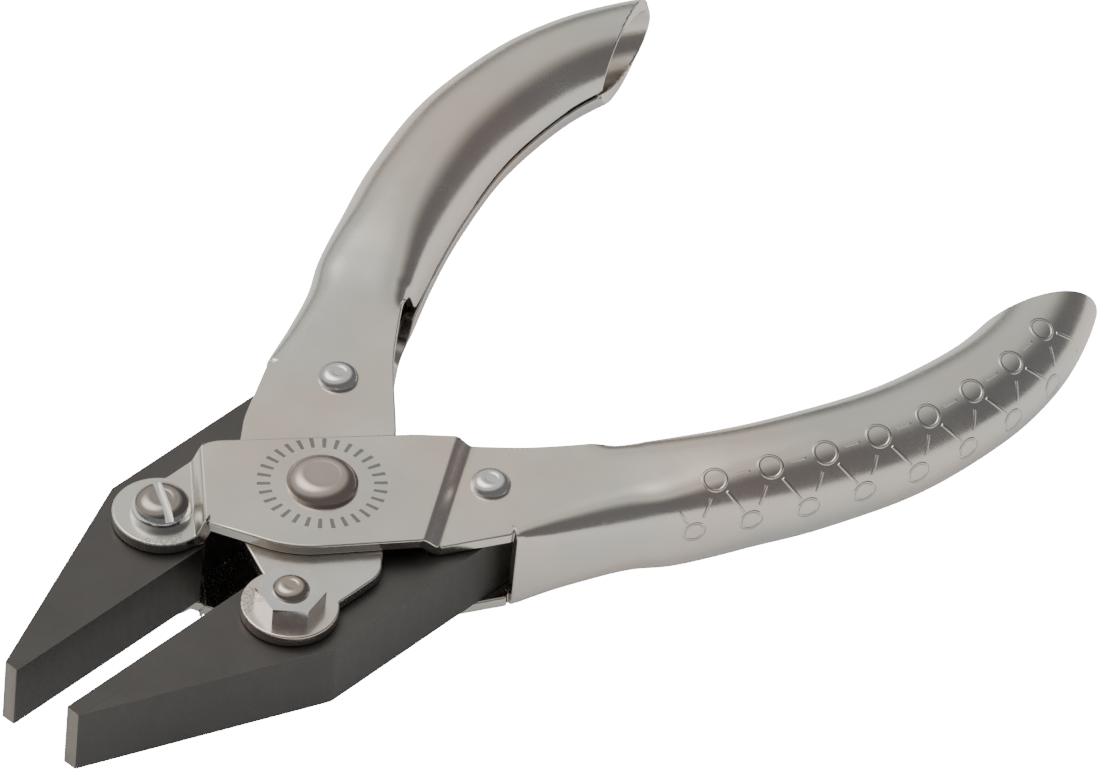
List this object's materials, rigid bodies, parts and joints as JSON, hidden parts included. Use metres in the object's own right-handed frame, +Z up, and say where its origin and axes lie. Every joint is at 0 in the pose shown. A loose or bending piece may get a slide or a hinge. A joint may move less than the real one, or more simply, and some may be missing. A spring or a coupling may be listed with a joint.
{
  "type": "parallel-action flat nose pliers",
  "caption": "Hand pliers with two flat jaws that stay parallel, carried between pressed sheet handles that cross at a central pivot.",
  "frame": {"origin": "on the pivot axis, at the flat land of the lower centre rivet head, on which the tool rests", "axes": "+X along the closed direction to the jaw tips, +Z up along the pivot axis, +Y towards the jaw carried by the flat handle"},
  "size_m": [0.1318, 0.0804, 0.0168],
  "materials": {
    "zinc_sheet": "bright zinc plate on pressed sheet, satin",
    "black_steel": "black oxide on machined steel, bare ground tips",
    "rivet_steel": "bare headed steel",
    "zinc_fastener": "bright zinc plate"
  },
  "bodies": {
    "joggled_handle": {"handle_joggled": "zinc_sheet", "centre_rivets": "rivet_steel", "rear_rivet_joggled": "zinc_fastener", "pivot_screw_left": "zinc_fastener", "pivot_nut_left": "zinc_fastener"},
    "flat_handle": {"handle_flat": "zinc_sheet", "rear_rivet_flat": "zinc_fastener", "pivot_screw_right": "zinc_fastener", "pivot_nut_right": "zinc_fastener"},
    "left_jaw": {"jaw_left": "black_steel"},
    "right_jaw": {"jaw_right": "black_steel"}
  },
  "joints": [
    {"name": "handles", "type": "hinge", "parent": "joggled_handle", "child": "flat_handle", "pos_m": [0, 0, 0.0084], "axis": [0, 0, 1], "range_deg": [-26.6, 12]},
    {"name": "left_jaw_pivot", "type": "hinge", "parent": "joggled_handle", "child": "left_jaw", "pos_m": [0.01483, -0.00967, 0.0084], "axis": [0, 0, 1], "range_deg": [-13.4, 6.1]},
    {"name": "right_jaw_pivot", "type": "hinge", "parent": "flat_handle", "child": "right_jaw", "pos_m": [0.01483, 0.00967, 0.0084], "axis": [0, 0, 1], "range_deg": [-6.1, 13.4]}
  ],
  "couplings": [
    {"joint": "left_jaw_pivot", "follows": "handles", "ratio": 0.5},
    {"joint": "right_jaw_pivot", "follows": "handles", "ratio": -0.5}
  ]
}
